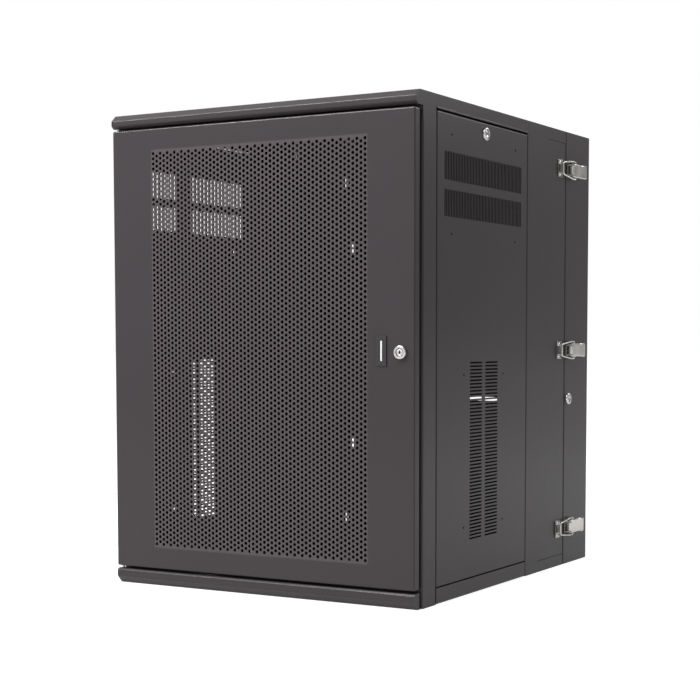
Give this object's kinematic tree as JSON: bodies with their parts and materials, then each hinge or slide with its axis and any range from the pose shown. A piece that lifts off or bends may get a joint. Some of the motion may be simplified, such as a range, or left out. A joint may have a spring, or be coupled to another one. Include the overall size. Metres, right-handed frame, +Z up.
{
  "type": "network rack cabinet",
  "caption": "Wall-mounted swing-out cabinet for 19-inch equipment, with a perforated locking door, vented side panels and draw latches.",
  "frame": {"origin": "centre of the bounding box at the base, on the plane that the cabinet stands on", "axes": "+Z up, the front door faces -Y, the wall is at +Y, +X to the right for someone facing the door"},
  "size_m": [0.6649, 0.764, 0.866],
  "materials": {
    "coat": "satin charcoal powder coat, fine texture",
    "rail_coat": "matt black powder coat",
    "zinc": "satin zinc or nickel plate",
    "lock_chrome": "bright chrome plate",
    "badge": "satin black with a plain light bar"
  },
  "bodies": {
    "wall_frame": {"wall_back_plate": "coat", "wall_frame_left": "coat", "wall_frame_right": "coat", "wall_frame_top": "coat", "wall_frame_bottom": "coat", "cable_cover_top": "coat", "cable_cover_bottom": "coat", "rear_lock_housing": "lock_chrome", "swing_hinge_lower_wall_half": "coat", "swing_hinge_upper_wall_half": "coat", "swing_hinge_lower_pin": "zinc", "swing_hinge_upper_pin": "zinc", "latch_lower_base": "zinc", "latch_middle_base": "zinc", "latch_upper_base": "zinc"},
    "cabinet": {"cabinet_side_left": "coat", "cabinet_side_right": "coat", "cabinet_top": "coat", "cabinet_base": "coat", "front_sill": "coat", "rack_rail_front_left": "rail_coat", "rack_rail_front_right": "rail_coat", "rack_rail_rear_left": "rail_coat", "rack_rail_rear_right": "rail_coat", "rail_support_left_lower": "rail_coat", "rail_support_left_middle": "rail_coat", "rail_support_left_upper": "rail_coat", "rail_support_right_lower": "rail_coat", "rail_support_right_middle": "rail_coat", "rail_support_right_upper": "rail_coat", "swing_hinge_lower_cabinet_half": "coat", "swing_hinge_upper_cabinet_half": "coat", "latch_lower_keeper": "zinc", "latch_middle_keeper": "zinc", "latch_upper_keeper": "zinc"},
    "front_door": {"front_door": "coat", "door_badge": "badge", "door_lock_housing": "lock_chrome", "door_pin_lower": "zinc", "door_pin_upper": "zinc"},
    "door_lock": {"door_lock_plug": "lock_chrome", "door_lock_cam": "zinc"},
    "side_panel_left": {"side_panel_left": "coat", "side_panel_left_lock_housing": "lock_chrome"},
    "side_lock_left": {"side_panel_left_lock_plug": "lock_chrome", "side_panel_left_lock_cam": "zinc"},
    "side_panel_right": {"side_panel_right": "coat", "side_panel_right_lock_housing": "lock_chrome"},
    "side_lock_right": {"side_panel_right_lock_plug": "lock_chrome", "side_panel_right_lock_cam": "zinc"},
    "rear_lock": {"rear_lock_plug": "lock_chrome", "rear_lock_cam": "zinc"},
    "latch_lever_lower": {"latch_lower_lever": "zinc"},
    "latch_bail_lower": {"latch_lower_bail": "zinc"},
    "latch_lever_middle": {"latch_middle_lever": "zinc"},
    "latch_bail_middle": {"latch_middle_bail": "zinc"},
    "latch_lever_upper": {"latch_upper_lever": "zinc"},
    "latch_bail_upper": {"latch_upper_bail": "zinc"}
  },
  "joints": [
    {"name": "cabinet_swing", "type": "hinge", "parent": "wall_frame", "child": "cabinet", "pos_m": [-0.32515, 0.2592, 0.433], "axis": [0, 0, -1], "range_deg": [0, 90]},
    {"name": "front_door_swing", "type": "hinge", "parent": "cabinet", "child": "front_door", "pos_m": [-0.3085, -0.3663, 0.43], "axis": [0, 0, -1], "range_deg": [0, 120]},
    {"name": "door_lock_turn", "type": "hinge", "parent": "front_door", "child": "door_lock", "pos_m": [0.289, -0.376, 0.4332], "axis": [0, -1, 0], "range_deg": [0, 90]},
    {"name": "side_panel_right_tilt", "type": "hinge", "parent": "cabinet", "child": "side_panel_right", "pos_m": [0.3175, -0.1148, 0.03], "axis": [0, 1, 0], "range_deg": [0, 30]},
    {"name": "side_lock_right_turn", "type": "hinge", "parent": "side_panel_right", "child": "side_lock_right", "pos_m": [0.3175, -0.1148, 0.8196], "axis": [1, 0, 0], "range_deg": [0, 90]},
    {"name": "side_panel_left_tilt", "type": "hinge", "parent": "cabinet", "child": "side_panel_left", "pos_m": [-0.3175, -0.1148, 0.03], "axis": [0, -1, 0], "range_deg": [0, 30]},
    {"name": "side_lock_left_turn", "type": "hinge", "parent": "side_panel_left", "child": "side_lock_left", "pos_m": [-0.3175, -0.1148, 0.8196], "axis": [1, 0, 0], "range_deg": [0, 90]},
    {"name": "rear_lock_turn", "type": "hinge", "parent": "wall_frame", "child": "rear_lock", "pos_m": [0.3175, 0.2755, 0.335], "axis": [-1, 0, 0], "range_deg": [0, 90]},
    {"name": "latch_lever_lower_flip", "type": "hinge", "parent": "wall_frame", "child": "latch_lever_lower", "pos_m": [0.3245, 0.2767, 0.075], "axis": [0, 0, -1], "range_deg": [0, 140]},
    {"name": "latch_bail_lower_pivot", "type": "hinge", "parent": "latch_lever_lower", "child": "latch_bail_lower", "pos_m": [0.3235, 0.2967, 0.075], "axis": [0, 0, -1], "range_deg": [-140, 0]},
    {"name": "latch_lever_middle_flip", "type": "hinge", "parent": "wall_frame", "child": "latch_lever_middle", "pos_m": [0.3245, 0.2767, 0.433], "axis": [0, 0, -1], "range_deg": [0, 140]},
    {"name": "latch_bail_middle_pivot", "type": "hinge", "parent": "latch_lever_middle", "child": "latch_bail_middle", "pos_m": [0.3235, 0.2967, 0.433], "axis": [0, 0, -1], "range_deg": [-140, 0]},
    {"name": "latch_lever_upper_flip", "type": "hinge", "parent": "wall_frame", "child": "latch_lever_upper", "pos_m": [0.3245, 0.2767, 0.7915], "axis": [0, 0, -1], "range_deg": [0, 140]},
    {"name": "latch_bail_upper_pivot", "type": "hinge", "parent": "latch_lever_upper", "child": "latch_bail_upper", "pos_m": [0.3235, 0.2967, 0.7915], "axis": [0, 0, -1], "range_deg": [-140, 0]}
  ],
  "couplings": [
    {"joint": "latch_bail_lower_pivot", "follows": "latch_lever_lower_flip", "ratio": -1},
    {"joint": "latch_bail_middle_pivot", "follows": "latch_lever_middle_flip", "ratio": -1},
    {"joint": "latch_bail_upper_pivot", "follows": "latch_lever_upper_flip", "ratio": -1}
  ]
}
